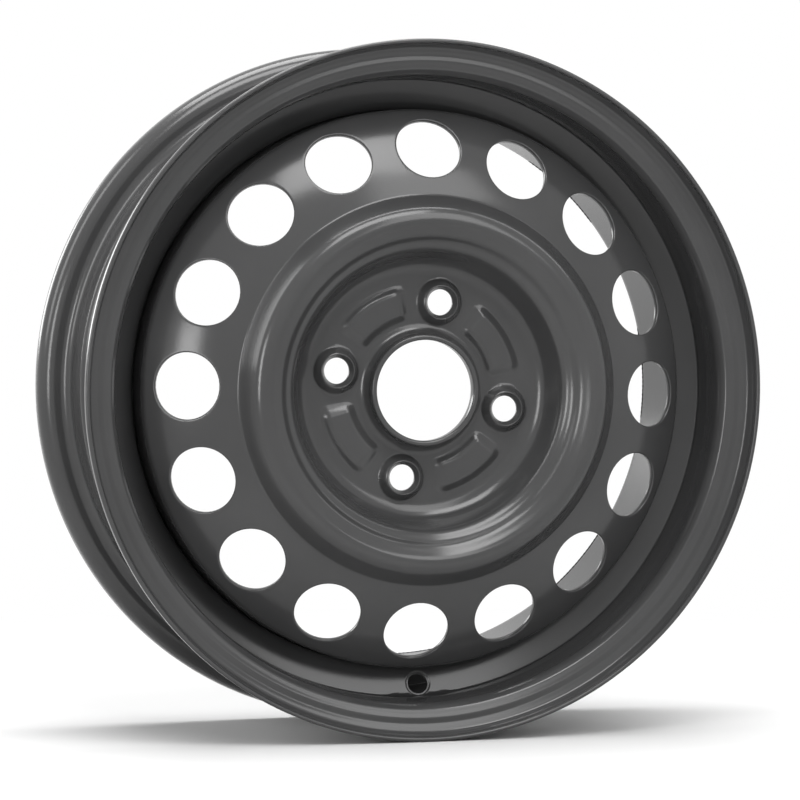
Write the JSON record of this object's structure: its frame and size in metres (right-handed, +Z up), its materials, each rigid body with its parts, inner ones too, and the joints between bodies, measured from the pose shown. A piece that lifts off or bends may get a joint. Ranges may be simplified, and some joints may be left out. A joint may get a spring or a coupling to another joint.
{
  "type": "steel wheel",
  "caption": "Pressed steel car wheel: a rolled drop-well rim round a stamped disc with round vents, coned stud seats and a centre bore, in satin black paint.",
  "frame": {"origin": "on the wheel's axis in the hub face, at the centre of the stud circle", "axes": "+Y along the axis towards the vehicle, so the outer face looks along -Y; +Z up, with the valve hole straight down"},
  "size_m": [0.3893, 0.1472, 0.3894],
  "materials": {
    "black_paint": "satin black dip coat"
  },
  "bodies": {
    "root": {"rim": "black_paint", "disc": "black_paint", "weld_beads": "black_paint"}
  },
  "joints": []
}
